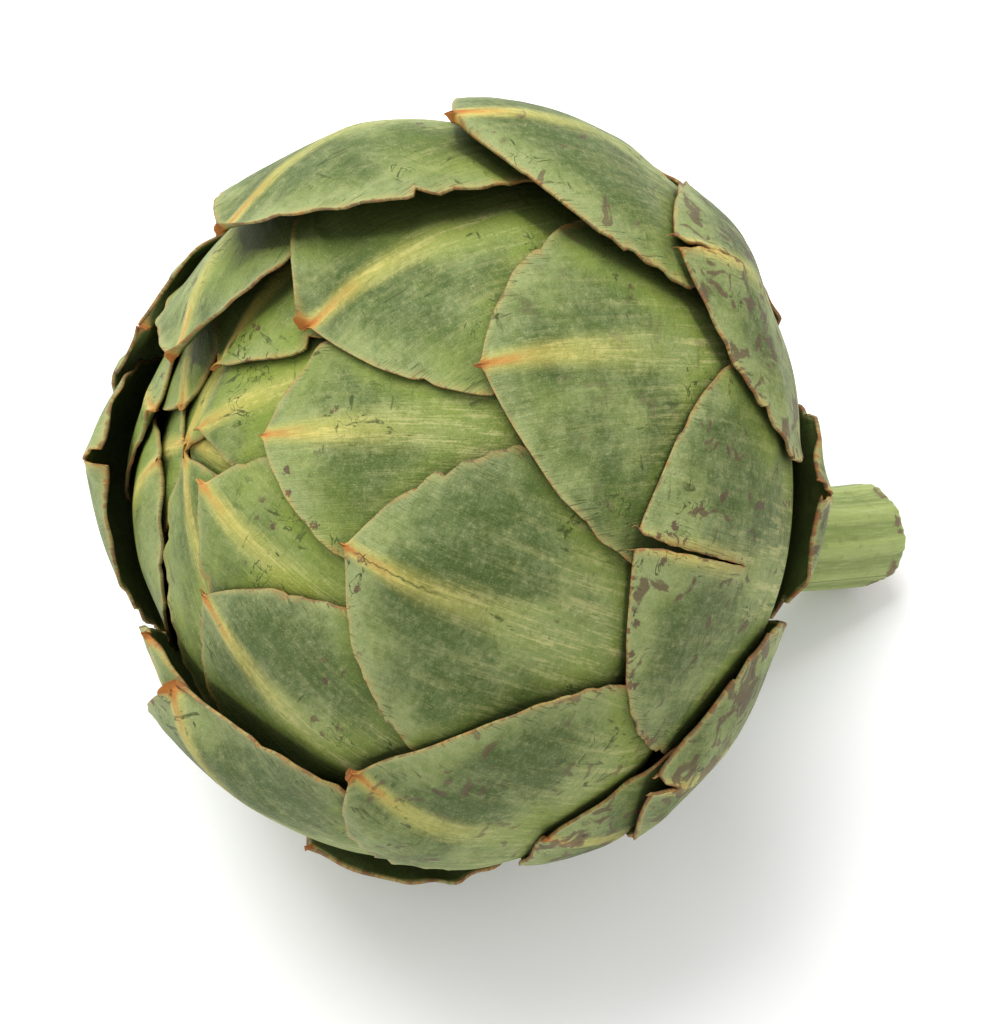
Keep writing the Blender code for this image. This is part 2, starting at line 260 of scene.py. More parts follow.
class Bract:
    """One bract: where its tip is, its outline, and the sheet it forms when laid."""

    def __init__(self, number, turn=0, tip=0, lean=0, width=1, length=1, blunt=1, skew=0,
                 lift=0, cup=0.25, hold=1.6, tear=0, crack=0):
        self.number = number
        outer = min(1, max(0, 1 - number / FULL_WIDTH_FROM))
        shrink = max(0, SHORTER_FROM - number)
        self.length = BLADE_LENGTH * length * (1 - SHORTEN * shrink)
        self.width = blend(BLADE_HALF_WIDTH, outer) * width * (1 - SLIM * shrink)
        self.rounding = TIP_ROUNDING * blunt
        self.skew = skew
        self.cup = cup
        self.hold = hold
        self.lift = lift * MM
        self.tear = tear * MM
        self.crack = crack
        polar = math.radians(TIP_POLAR - POLAR_STEP * number + POLAR_EASE * number ** 2 + tip)
        around = math.radians(FIRST_TURN - DIVERGENCE * number + turn)
        self.tip = directions(np.array(polar), np.array(around))
        down = directions(np.array(polar + math.pi / 2), np.array(around))
        across = np.cross(self.tip, down)
        swing = math.radians(lean)
        self.down = down * math.cos(swing) + across * math.sin(swing)
        self.across = np.cross(self.tip, self.down)

    def half_width(self, down, side):
        """The blade's width from its midrib to one side, at a distance down from its tip."""
        rounded = self.width * (1 - np.exp(-(np.maximum(down, 0) / self.rounding) ** TIP_POWER))
        narrowing = np.clip((down / self.length - NARROWS_FROM) / (1 - NARROWS_FROM), 0, 1)
        return rounded * (1 - ROOT_NARROWING * narrowing ** 2) * (1 + self.skew * np.sign(side))

    def direction(self, down, aside):
        """The direction from the head's centre of a place on the blade."""
        down = (down / GIRTH)[..., None]
        aside = (aside / GIRTH)[..., None]
        along = np.cos(down) * self.tip + np.sin(down) * self.down
        return np.cos(aside) * along + np.sin(aside) * self.across

    def where(self, direction):
        """The place on the blade, down and aside, of each direction."""
        aside = np.arcsin(np.clip(direction @ self.across, -1, 1)) * GIRTH
        down = np.arctan2(direction @ self.down, direction @ self.tip) * GIRTH
        return down, aside

    def lay(self, pile, rows=33, columns=25):
        """Lays a taut sheet over the pile, lifts its free tip and adds it to the pile."""
        share, side = np.meshgrid(np.linspace(0, 1, rows), np.linspace(-1, 1, columns), indexing="ij")
        down = share * self.length
        under = pile.at(self.direction(down, side * self.half_width(down, side)))
        sheet = under.copy()
        for _ in range(TAUT_ROUNDS):
            wide = np.pad(sheet, 1, mode="edge")
            even = (wide[:-2, 1:-1] + wide[2:, 1:-1] + wide[1:-1, :-2] + wide[1:-1, 2:]) / 4
            sheet = np.maximum(even, under)
        swell = SWELL * (1 - side ** 2) * np.clip(share * SWELL_RISE, 0, 1)
        free = self.lift * (1 - share) ** self.hold * (1 - self.cup * side ** 2)
        thick = blend(BLADE_THICKNESS, share) * (1 - EDGE_THINNING * side ** 2)
        self.outer = sheet + swell + free + thick
        down, aside = self.where(pile.direction)
        half = self.half_width(down, aside)
        inside = (down > 0) & (down < self.length) & (np.abs(aside) < half)
        here = sample(self.outer, down / self.length, aside / np.maximum(half, MM / 10))
        pile.height = np.where(inside, np.maximum(pile.height, here), pile.height)

    def clearance(self, direction):
        """How far outside this blade's outline each direction lies, negative inside it."""
        down, aside = self.where(direction)
        half = self.half_width(down, aside)
        beyond = np.maximum(np.abs(aside) - half, -down)
        return np.where(down > self.length, np.abs(down) + GIRTH, beyond)


print("bract 0 is", round(Bract(0).width * 2 / MM, 1), "mm wide at most")

# %% Lay them all, from the innermost outwards
pile = Pile()
bracts = []
for number in numbers:
    bract = Bract(number, **QUIRKS.get(number, {}))
    bract.lay(pile)
    bracts.append(bract)
print("the pile stands up to", round(float(pile.height.max()) / MM, 1), "mm over the heart")

# %% [markdown]
# ## A bract's skin
#
# The laid sheet is smooth and coarse. The blade that shows is a finer grid
# with the details of a dry, waxy leaf: a thin wavy margin with nicks, a low
# ridge that ends in a small spine, soft unevenness, and in some a tear from
# the tip. The tear is a real slit: the grid is two lobes that share their
# middle line only below the tear.
#
# A finish can only be as good as what it knows about the surface, so each
# point also stores a few lengths: down from the tip, aside from the midrib, in
# from the margin, and out to the nearest bract that covers it. They are stored
# as attributes and the material reads them.

# %% Waves, dents and nicks
MARGIN_WOBBLE = 0.22 * MM
NICK_WIDTH = 0.45 * MM


def waves(chance, count, longest, shortest, place_along):
    """A smooth random curve: a sum of sines between two wavelengths, about 1 high."""
    total = 0
    for _ in range(count):
        length = chance.uniform(shortest, longest)
        total = total + np.sin(place_along * 2 * math.pi / length + chance.uniform(0, 2 * math.pi))
    return total / math.sqrt(count)


def unevenness(chance, down, aside):
    """Soft dents and swells a centimetre or two across."""
    total = 0
    for _ in range(6):
        heading = chance.uniform(0, math.pi)
        length = chance.uniform(9, 24) * MM
        along = down * math.cos(heading) + aside * math.sin(heading)
        total = total + np.sin(along * 2 * math.pi / length + chance.uniform(0, 2 * math.pi))
    return total / 6


def margin_of(chance, down):
    """How far the margin departs from the smooth outline: a wobble and a few nicks."""
    edge = MARGIN_WOBBLE * waves(chance, 4, 9 * MM, 2.2 * MM, down)
    for _ in range(chance.integers(2, 6)):
        at = chance.uniform(3 * MM, 28 * MM)
        edge = edge - chance.uniform(0.3, 1.1) * MM * np.exp(-((down - at) / NICK_WIDTH) ** 2)
    return edge * np.clip(down / (4 * MM), 0, 1)


wobble = margin_of(np.random.default_rng(1), np.linspace(0, BLADE_LENGTH, 200))
print("a margin has nicks up to", round(float(-wobble.min()) / MM, 2), "mm deep")

# %% Half a blade
SPINE = 1.0 * MM
MARGIN_THICKNESS = 0.45 * MM
MIDDLE_THICKNESS = 1.3 * MM
THICKENING = 9 * MM
MARGIN_REACH = 0.25 * MM
TEAR_OPENING = 0.8 * MM
TEAR_GAP = 0.25 * MM
DENT = 0.22 * MM
RIDGE = 0.45 * MM
RIDGE_WIDTH = 1.5 * MM
RIDGE_LENGTH = 9 * MM
RIPPLE = 0.16 * MM
CURL_WIDTH = 1.6 * MM
ROOT_SHARE = 0.2
ROOT_DEPTH = 4 * MM
SETTLING = 0.5 * MM
UNCOVERED = 30 * MM
LIFT_WIDENS_COVER_AND_SHADE = 0.2
FINE_ROWS = 64
FINE_LOBE_COLUMNS = 24
ROW_CROWDING = 1.45


def settle(points):
    """Presses what would reach below the table flat on it, with a soft bend round the spot."""
    height = points[..., 2]
    points[..., 2] = (height + np.sqrt(height ** 2 + SETTLING ** 2)) / 2
    return points


def lobe(bract, side_sign, rows, columns):
    """One half of a blade: outer and inner heights, directions and stored lengths."""
    chance = np.random.default_rng(1000 + bract.number * 2 + (side_sign > 0))
    shared = np.random.default_rng(5000 + bract.number)
    share, out = np.meshgrid(np.linspace(0, 1, rows), np.linspace(0, 1, columns), indexing="ij")
    share = share ** ROW_CROWDING
    out = np.sin(out * math.pi / 2)
    down = share * (bract.length + SPINE) - SPINE
    taper = np.clip(1 + down / SPINE, 0.05, 1)
    half = bract.half_width(down, side_sign) + MARGIN_REACH * taper
    half = half + margin_of(chance, down)
    slit = np.clip(1 - down / max(bract.tear, MM / 100), 0, 1) * (bract.tear > 0)
    open_tip = TEAR_OPENING * np.exp(-np.maximum(down, 0) / (2 * MM)) * np.sqrt(slit)
    gap = (open_tip + TEAR_GAP * np.sqrt(slit)) * (1 + 0.25 * waves(chance, 2, 5 * MM, 2 * MM, down))
    half = np.maximum(half, gap + 0.04 * MM)
    aside = side_sign * (gap + (half - gap) * out)
    side = side_sign * np.abs(aside) / np.maximum(half, MM / 10)
    edge = np.minimum(half - np.abs(aside), (down + SPINE) * 0.75)
    edge = np.where(down < bract.tear, np.minimum(edge, np.abs(aside) - gap), edge)
    height = sample(bract.outer, down / bract.length, side)
    height = height + DENT * unevenness(shared, down, aside) * np.clip(edge / (3 * MM), 0, 1)
    ridge = np.exp(-(aside / RIDGE_WIDTH) ** 2) * np.exp(-np.maximum(down, 0) / RIDGE_LENGTH)
    height = height + RIDGE * ridge
    curl = chance.uniform(0.1, 0.6) * MM
    ripple = RIPPLE * waves(chance, 3, 7 * MM, 2.5 * MM, down)
    height = height + (curl + ripple) * np.exp(-edge / CURL_WIDTH)
    root = np.clip((down / bract.length - 1) / ROOT_SHARE + 1, 0, 1) ** 2
    height = height * (1 - root) - ROOT_DEPTH / 2 * root
    thick = blend((MARGIN_THICKNESS, MIDDLE_THICKNESS), np.clip(edge / THICKENING, 0, 1)) * taper
    aim = bract.direction(down, aside)
    cover = np.full(down.shape, UNCOVERED)
    for other in bracts:
        if other.number < bract.number:
            # Under a lifted bract the cover measure is pulled outwards, so its bloom mask and its
            # painted shade reach further.
            cover = np.minimum(cover, other.clearance(aim) - LIFT_WIDENS_COVER_AND_SHADE * other.lift)
    stored = {"down": down / MM, "aside": aside / MM, "edge": edge / MM, "cover": cover / MM}
    return settle(place(aim, height)), settle(place(aim, height - thick)), stored


print("half a blade has", FINE_ROWS * FINE_LOBE_COLUMNS, "points on each face")

# %% A closed blade from two halves
def grid_quads(index):
    """The quads of a grid of point numbers."""
    corners = [index[:-1, :-1], index[:-1, 1:], index[1:, 1:], index[1:, :-1]]
    return np.stack([corner.ravel() for corner in corners], -1)


def rim_quads(line, under):
    """The quads that join a line of outer points to the inner points under it."""
    return np.stack([line[:-1], line[1:], line[1:] + under, line[:-1] + under], -1)


def blade(bract, rows, columns):
    """One closed blade: its points, faces and stored lengths."""
    left_outer, left_inner, left_stored = lobe(bract, -1, rows, columns)
    right_outer, right_inner, right_stored = lobe(bract, 1, rows, columns)
    count = rows * columns
    left = np.arange(count).reshape(rows, columns)
    right = left + count
    depth = left_stored["down"][:, 0] * MM
    joined = depth >= bract.tear
    right[joined, 0] = left[joined, 0]
    under = 2 * count
    faces = [grid_quads(left[:, ::-1]), grid_quads(right)]
    faces += [grid_quads(left + under), grid_quads((right + under)[:, ::-1])]
    faces += [rim_quads(left[:, -1], under), rim_quads(right[::-1, -1], under)]
    faces += [rim_quads(left[-1, ::-1], under), rim_quads(right[-1, :], under)]
    faces += [rim_quads(left[0, :], under), rim_quads(right[0, ::-1], under)]
    torn = int(np.argmax(joined)) + 1
    if bract.tear > 0:
        faces += [rim_quads(left[:torn, 0][::-1], under), rim_quads(right[:torn, 0], under)]
    sheets = (left_outer, right_outer, left_inner, right_inner)
    points = np.concatenate([sheet.reshape(-1, 3) for sheet in sheets])
    stored = {}
    for name in left_stored:
        both = np.concatenate([left_stored[name].ravel(), right_stored[name].ravel()])
        stored[name] = np.concatenate([both, both])
    stored["inside"] = np.repeat([0.0, 1.0], under)
    stored["tone"] = np.full(len(points), np.random.default_rng(bract.number + 77).uniform(-1, 1))
    stored["age"] = np.full(len(points), float(bract.number))
    stored["crack"] = np.full(len(points), float(bract.crack))
    return points, np.concatenate(faces), stored


print("a fine blade has", FINE_ROWS * FINE_LOBE_COLUMNS * 4, "points")

# %% [markdown]
# ## Making the meshes
#
# Forty-odd separate objects would be slow to handle, and a single one would
# be hard to edit. The bracts are joined in three pieces by their age, as a
# cook would peel them: the tough outer ones, the middle ones and the tender
# ones round the apex.

# %% Joined meshes with stored lengths
def new_piece(name, points, faces, stored, replaced):
    """A mesh object that stands for a solid and rides on the body."""
    mesh = bpy.data.meshes.new(name)
    mesh.from_pydata(points.tolist(), [], faces if isinstance(faces, list) else faces.tolist())
    work = bmesh.new()
    work.from_mesh(mesh)
    for key, values in stored.items():
        layer = work.verts.layers.float.new(key)
        for vertex, value in zip(work.verts, values.tolist()):
            vertex[layer] = value
    loose = [vertex for vertex in work.verts if not vertex.link_faces]
    bmesh.ops.delete(work, geom=loose, context="VERTS")
    work.to_mesh(mesh)
    work.free()
    mesh.shade_smooth()
    thing = bpy.data.objects.new(name, mesh)
    bpy.context.scene.collection.objects.link(thing)
    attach(thing, "root")
    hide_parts(replaced)
    return thing


def peel(name, numbers, rows, columns):
    """One piece from all the bracts with these numbers."""
    points = []
    faces = []
    stored = {}
    count = 0
    for bract in bracts:
        if bract.number in numbers:
            new_points, new_faces, new_stored = blade(bract, rows, columns)
            points.append(new_points)
            faces.append(new_faces + count)
            count += len(new_points)
            for key, values in new_stored.items():
                stored.setdefault(key, []).append(values)
    stored = {key: np.concatenate(values) for key, values in stored.items()}
    thing = new_piece(name, np.concatenate(points), np.concatenate(faces), stored, "head")
    print(name, "has", len(thing.data.vertices), "points and", len(thing.data.polygons), "faces")
    return thing


MIDDLE_FROM = -5
TENDER_FROM = 9
outer_bracts = peel("outer_bracts", range(OUTERMOST, MIDDLE_FROM), FINE_ROWS, FINE_LOBE_COLUMNS)
middle_bracts = peel("middle_bracts", range(MIDDLE_FROM, TENDER_FROM), FINE_ROWS, FINE_LOBE_COLUMNS)
tender_bracts = peel("tender_bracts", range(TENDER_FROM, INNERMOST + 1), FINE_ROWS, FINE_LOBE_COLUMNS)

# %% [markdown]
# ## The heart
#
# Between the lifted bracts one looks down on the heart and the feet of the
# bracts. It is a plain egg, so its surface gets shallow lengthwise furrows,
# and it lies in deep shade.

# %% The heart
def make_heart(rings=60, sides=120):
    """The egg-shaped heart with shallow furrows from apex to stem."""
    polar, turn = np.meshgrid(np.linspace(0.01, math.pi - 0.01, rings),
                              np.arange(sides) * 2 * math.pi / sides, indexing="ij")
    furrow = 0.25 * MM * np.sin(turn * 23 + 2 * np.sin(polar * 3))
    points = place(directions(polar, turn), furrow - 0.4 * MM).reshape(-1, 3)
    index = np.arange(rings * sides).reshape(rings, sides)
    index = np.concatenate([index, index[:, :1]], 1)
    faces = grid_quads(index[:, ::-1]).tolist()
    faces.append(index[0, :-1].tolist())
    faces.append(index[-1, -2::-1].tolist())
    stored = {"along": (polar / math.pi).ravel()}
    thing = new_piece("heart", points, faces, stored, "head")
    return thing


heart = make_heart()
print("the heart is", [round(side / MM, 1) for side in heart.dimensions], "mm")

# %% [markdown]
# ## The stem
#
# The stem is a thick fleshy stalk with blunt ribs, cut across with a knife. It
# leaves the head along its axis and bends a little to the surface, where its
# end touches. It is swept along a curve of three points. The cut end is a disc
# of rings, a little hollow in the middle where the pith has dried.

# %% The stem and its cut end
STEM_RADIUS = 7.5 * MM
STEM_END = np.array((CENTRE[0] + 59.3 * MM, CENTRE[1] + 5.9 * MM, 6.3 * MM))
STEM_BEND = 24 * MM
STEM_ROOT = 6 * MM
STEM_RIBS = 9
STEM_RIB_HEIGHT = 0.35 * MM
STEM_FLARE = 0.12
STEM_LENGTH = 42
CUT_HOLLOW = 0.7 * MM
CUT_BEVEL = 0.5 * MM


def make_stem(rings=90, sides=180, disc_rings=26):
    """The ribbed stem as one closed sweep, ending in its cut face."""
    start = CENTRE - APEX * (BASE - STEM_ROOT)
    bend = start - APEX * STEM_BEND
    chance = np.random.default_rng(4)
    turn = np.arange(sides) * 2 * math.pi / sides
    ribs = np.cos(STEM_RIBS * turn) * STEM_RIB_HEIGHT
    fine = 0.06 * MM * np.cos(31 * turn + 1.3) + 0.04 * MM * np.cos(47 * turn)
    rows = []
    lengths = []
    radial = []
    for ring in range(rings + 1):
        step = ring / rings
        middle = start * (1 - step) ** 2 + bend * 2 * step * (1 - step) + STEM_END * step ** 2
        ahead = (bend - start) * (1 - step) + (STEM_END - bend) * step
        ahead /= np.linalg.norm(ahead)
        level = np.cross(ahead, (0, 0, 1))
        level /= np.linalg.norm(level)
        up = np.cross(level, ahead)
        flare = 1 + STEM_FLARE * (1 - step) ** 4
        soft = 0.12 * MM * np.sin(turn * 3 + step * 7) + 0.10 * MM * np.sin(turn * 2 - step * 11 + 1)
        bevel = CUT_BEVEL * np.clip((step - 0.97) / 0.03, 0, 1) ** 2
        radius = (STEM_RADIUS * flare + ribs * (1 - 0.6 * step) + fine + soft - bevel)[:, None]
        row = middle + radius * (level * np.cos(turn)[:, None] + up * np.sin(turn)[:, None])
        row[:, 2] = np.maximum(row[:, 2], 0)
        rows.append(row)
        lengths.append(np.full(sides, (1 - step) * STEM_LENGTH))
        radial.append(np.ones(sides))
    rim = rows[-1]
    for ring in range(1, disc_rings):
        share = 1 - ring / disc_rings
        rough = 0.12 * MM * waves(chance, 3, 3 * MM, 1 * MM, share * STEM_RADIUS)
        hollow = CUT_HOLLOW * (1 - share ** 2) + rough
        rows.append(STEM_END + (rim - STEM_END) * share - ahead * hollow)
        lengths.append(np.zeros(sides))
        radial.append(np.full(sides, share))
    points = np.concatenate(rows)
    index = np.arange(len(points)).reshape(-1, sides)
    index = np.concatenate([index, index[:, :1]], 1)
    faces = grid_quads(index[:, ::-1]).tolist()
    faces.append(index[0, :-1].tolist())
    faces.append(index[-1, -2::-1].tolist())
    stored = {
        "back": np.concatenate(lengths),
        "radial": np.concatenate(radial),
        "turn": np.tile(turn, len(rows)),
    }
    thing = new_piece("stem_flesh", points, faces, stored, "stem")
    return thing


stem = make_stem()
print("the stem is", [round(side / MM, 1) for side in stem.dimensions], "mm")

# %% [markdown]
# ## Shader maths
#
# A material is a small sum: skin, plus a paler midrib, plus brown margins. In
# nodes such a sum is a wide drawing that is hard to read. Here a small class
# wraps a socket, so that the same sum is written as an expression, and each
# operator adds its Math node.

# %% A socket that can be added and multiplied
class Field:
    """A shader socket that takes part in sums."""

    def __init__(self, recipe, socket):
        self.recipe = recipe
        self.socket = socket

    def maths(self, operation, *others):
        """This value in one Math node with others."""
        return self.recipe.node("ShaderNodeMath", {"operation": operation}, self, *others)

    def __add__(self, other):
        return self.maths("ADD", other)

    __radd__ = __add__

    def __sub__(self, other):
        return self.maths("SUBTRACT", other)

    def __rsub__(self, other):
        return self.recipe.node("ShaderNodeMath", {"operation": "SUBTRACT"}, other, self)

    def __mul__(self, other):
        return self.maths("MULTIPLY", other)

    __rmul__ = __mul__

    def __truediv__(self, other):
        return self.maths("DIVIDE", other)

    def size(self):
        """The value without its sign."""
        return self.maths("ABSOLUTE")

    def between(self, low, high):
        """Rises smoothly from 0 at low to 1 at high, or falls if low is the larger."""
        smooth = {"interpolation_type": "SMOOTHSTEP"}
        return self.recipe.node("ShaderNodeMapRange", smooth, self, low, high, 0.0, 1.0)


print("a field can", [name for name in vars(Field) if not name.startswith("_")])

# %% A material under construction
class Recipe:
    """One material under construction."""

    def __init__(self, name):
        self.material = bpy.data.materials.new(name)
        self.material.use_nodes = True
        self.tree = self.material.node_tree
        self.shader = self.tree.nodes["Principled BSDF"]

    def connect(self, value, socket):
        """Links a field to a socket, or sets the socket to a plain value."""
        if isinstance(value, Field):
            self.tree.links.new(value.socket, socket)
        elif socket.type == "RGBA":
            socket.default_value = (*value, 1)
        else:
            socket.default_value = value

    def node(self, kind, settings, *values, output=0, **named):
        """A node of any kind: settings first, then the values or links of its sockets."""
        made = self.tree.nodes.new(kind)
        for name, value in settings.items():
            setattr(made, name, value)
        for value, socket in zip(values, made.inputs):
            self.connect(value, socket)
        for name, value in named.items():
            self.connect(value, made.inputs[name.replace("_", " ")])
        return Field(self, made.outputs[output])

    def stored(self, name):
        """A length stored on the mesh."""
        return self.node("ShaderNodeAttribute", {"attribute_name": name}, output="Fac")

    def vector(self, x, y, z):
        """Three values as one vector."""
        return self.node("ShaderNodeCombineXYZ", {}, x, y, z)

    def noise(self, place, scale, detail=3.0, roughness=0.5, distortion=0.0):
        """Cloudy noise from 0 to 1."""
        return self.node("ShaderNodeTexNoise", {}, Vector=place, Scale=scale, Detail=detail,
                         Roughness=roughness, Distortion=distortion)

    def mix(self, share, first, second):
        """A colour between two."""
        made = self.tree.nodes.new("ShaderNodeMix")
        made.data_type = "RGBA"
        sockets = (made.inputs[0], made.inputs[6], made.inputs[7])
        for value, socket in zip((share, first, second), sockets):
            self.connect(value, socket)
        return Field(self, made.outputs[2])

    def bump(self, height, distance, strength=1.0):
        """Small relief from a height from 0 to 1."""
        return self.node("ShaderNodeBump", {}, Strength=strength, Distance=distance, Height=height)

    def finish(self, colour, roughness, normal):
        """Feeds the shader."""
        self.connect(colour, self.shader.inputs["Base Color"])
        self.connect(roughness, self.shader.inputs["Roughness"])
        self.connect(normal, self.shader.inputs["Normal"])
        return self.material


def paint(red, green, blue):
    """A screen colour from 0 to 255 as the linear colour that shaders use."""
    return tuple((channel / 255 / 12.92) if channel < 11 else ((channel / 255 + 0.055) / 1.055) ** 2.4
                 for channel in (red, green, blue))


print("mid green is", [round(channel, 3) for channel in paint(118, 132, 80)])

# %% [markdown]
# ## What the bracts' masks share
#
# Up close a bract is many things at once: green skin, wax, fibres, dry edges,
# scuffs and spots. Each of these is one mask, and the colour is built up mask
# by mask. The masks share their ingredients: the lengths stored on the mesh,
# and a few noises at different sizes, some drawn out along the blade as its
# fibres are. Each bract's own tone shifts the noises, so no two are alike.

# %% The shared lengths and noises
GREEN = paint(108, 124, 58)
DEEP_GREEN = paint(66, 84, 36)
FRESH_GREEN = paint(118, 136, 48)
CONTACT_PAINTED_SHADE = paint(44, 54, 20)
INNER_FACE_PAINTED_SHADE = paint(66, 80, 36)
BLOOM = paint(154, 163, 116)
PALE = paint(182, 178, 118)
STRAW = paint(208, 190, 98)
RUST = paint(176, 104, 46)
DRY_BROWN = paint(120, 82, 60)
SCUFF = paint(56, 68, 28)
BRUISE = paint(86, 62, 50)


class BractSkin(Recipe):
    """The bracts' material, with the lengths, noises and masks that its layers share."""

    def __init__(self):
        super().__init__("bract_skin")
        self.down = self.stored("down")
        self.aside = self.stored("aside")
        self.edge = self.stored("edge")
        self.cover = self.stored("cover")
        self.tone = self.stored("tone")
        self.inside = self.stored("inside")
        self.age = self.stored("age")
        self.flat = self.vector(self.aside, self.down, self.tone * 40)
        self.streak = self.along_blade(1.1, 0.09, 60, 4.0, 0.62)
        self.thread = self.along_blade(4.5, 0.30, 90, 2.0, 0.65)
        patches = self.vector(self.aside, self.down * 0.6, self.tone * 30)
        self.patch = self.noise(patches, 0.42, 5.0, 0.7)
        self.cloud = self.noise(self.flat, 0.085, 3.0, 0.6)
        self.mottle = self.noise(self.flat, 1.3, 4.0, 0.72)
        self.grain = self.noise(self.flat, 5.5, 2.0, 0.6)
        self.tender = self.age.between(7.0, 20.0)
        self.low_down = self.down.between(12.0, 34.0)
        self.midrib = (self.aside.size() / (1.4 + self.down * 0.12)).between(1.0, 0.0)
        self.pale = (self.streak * 0.55 + self.thread * 0.25 + self.mottle * 0.2).between(0.47, 0.63)
        self.dry = (self.edge + self.mottle * 1.5 + self.patch * 1.6 - 1.42).between(0.32, 0.02)

    def along_blade(self, across, along, shift, detail, roughness=0.5, distortion=0.0):
        """A noise drawn out along the blade."""
        place_on = self.vector(self.aside * across, self.down * along, self.tone * shift)
        return self.noise(place_on, 1.0, detail, roughness, distortion)


skin = BractSkin()
print("the shared part has", len(skin.tree.nodes), "nodes")

# %% [markdown]
# ## Green skin under a bloom
#
# The skin is a dull green, deepest in the middle of each half of the blade,
# under a pale waxy bloom. The bloom rubs off where bracts slide over each
# other, so the skin is a fresher green close to a covering bract and low
# down. Fine pale fibres run lengthwise and show most along the midrib. A pale
# rim along the margin is partly the skin's pale border and partly a painted
# highlight on the thick edge. Close to a covering bract's edge, and under it,
# the skin is painted darker as painted shade.

# %% Green, bloom, fibres and painted shade
def green_under_bloom():
    """The skin's colours where it is sound, with painted shade near covering bracts, and the mask of
    its bloom.
    """
    deep = skin.edge.between(2.0, 9.0) * skin.down.between(34.0, 18.0) * (1 - skin.midrib)
    shade = skin.cloud + skin.tone * 0.05 + skin.midrib * 0.10 + skin.low_down * 0.08 - deep * 0.14
    colour = skin.mix(shade.between(0.34, 0.62), DEEP_GREEN, GREEN)
    bloom = skin.patch * 0.35 + skin.cloud * 0.35 + skin.mottle * 0.3
    bloom = bloom + skin.edge.between(6.0, 0.5) * 0.09 + skin.low_down * 0.08 - deep * 0.03
    bloom = bloom.between(0.36, 0.70)
    open_skin = skin.cover.between(0.0, 8.0)
    colour = skin.mix(bloom * (0.20 + open_skin * 0.38), colour, BLOOM)
    fresh = (1 - open_skin) * 0.65 + skin.tender * 0.45 + skin.low_down * 0.2
    colour = skin.mix(fresh * skin.cloud.between(0.2, 0.7), colour, FRESH_GREEN)
    fibres = skin.pale * (0.12 + skin.low_down * 0.50 + skin.midrib * 0.42)
    colour = skin.mix(fibres, colour, PALE)
    # Pale rim by the margin: partly the skin's own pale border, partly a painted highlight on the
    # thick edge.
    rim = (skin.edge + skin.mottle * 1.6 + skin.patch * 1.8).between(3.3, 1.6)
    colour = skin.mix(rim * 0.34, colour, PALE)
    speck = skin.grain.between(0.56, 0.74) * 0.34 + skin.mottle.between(0.55, 0.75) * 0.16
    colour = skin.mix(speck, colour, PALE)
    pore = skin.grain.between(0.46, 0.30) * 0.24 + skin.mottle.between(0.42, 0.28) * 0.3
    colour = skin.mix(pore, colour, DEEP_GREEN)
    # Painted shade: darker close to a covering bract's edge and darkest just under it, for the shadow
    # in the gap.
    painted_contact_shade = skin.cover.between(3.0, 0.0) * 0.30 + skin.cover.between(0.8, -0.6) * 0.5
    return skin.mix(painted_contact_shade, colour, CONTACT_PAINTED_SHADE), bloom


colour, bloom = green_under_bloom()
print("with its green and bloom it has", len(skin.tree.nodes), "nodes")

# %% [markdown]
# ## The midrib and the tip
#
# Near the tip the midrib turns straw and then rust, and the point itself is
# dried. On the tender bracts round the apex the rust is fainter.

# %% Straw and rust
def midrib_and_tip(colour):
    """A straw midrib that rusts towards the tip."""
    off_midrib = skin.aside.size()
    straw = skin.midrib * (skin.down + skin.streak * 16).between(34.0, 6.0)
    colour = skin.mix(straw * (0.5 + skin.pale * 0.5) * 0.95, colour, STRAW)
    rust = (off_midrib / (0.5 + skin.down * 0.12)).between(1.0, 0.1)
    rust = rust * (skin.down + skin.patch * 9).between(12.5, 4.0)
    colour = skin.mix(rust * (0.75 - skin.tender * 0.45), colour, RUST)
    rusty_tip = (skin.down + off_midrib * 0.9 + skin.mottle * 3).between(3.6, 1.4)
    return skin.mix(rusty_tip * (0.6 - skin.tender * 0.3), colour, RUST)


colour = midrib_and_tip(colour)
print("with its midrib it has", len(skin.tree.nodes), "nodes")

# %% [markdown]
# ## Wear
#
# Handling leaves short dark scuffs, most of them along the fibres and a few
# across, and now and then a thin wandering scar. Cold leaves brown spots and
# blots, more of them on the old outer bracts. Short lengthwise cracks run in
# from the margin, and one bract has a crack along its midrib. Each mask is cut
# from a noise at a high threshold, which makes it rare.

# %% Scuffs and scars
def scuffs_and_scars(colour):
    """Short dark strokes where the skin was rubbed, and rare thin scars."""
    often = skin.noise(skin.flat, 0.11, 2.0).between(0.47, 0.60)
    dash = skin.along_blade(0.95, 0.26, 50, 2.0, 0.55, 0.6)
    crosswise = skin.vector(skin.aside * 0.25 + skin.down * 0.15, skin.down * 0.9, skin.tone * 70)
    cross_dash = skin.noise(crosswise, 1.0, 2.0, 0.55)
    scuff = dash.between(0.63, 0.70) + cross_dash.between(0.65, 0.72)
    scuff = scuff * often * skin.mottle.between(0.34, 0.54)
    colour = skin.mix(scuff * 0.85, colour, SCUFF)
    scar = (skin.noise(skin.flat, 0.33, 2.0, 0.5, 1.2) - 0.5).size().between(0.022, 0.008)
    scar = scar * skin.noise(skin.flat, 0.12, 1.0).between(0.655, 0.68)
    return skin.mix(scar * skin.mottle.between(0.38, 0.5) * 0.85, colour, SCUFF)


colour = scuffs_and_scars(colour)
print("with its scuffs it has", len(skin.tree.nodes), "nodes")

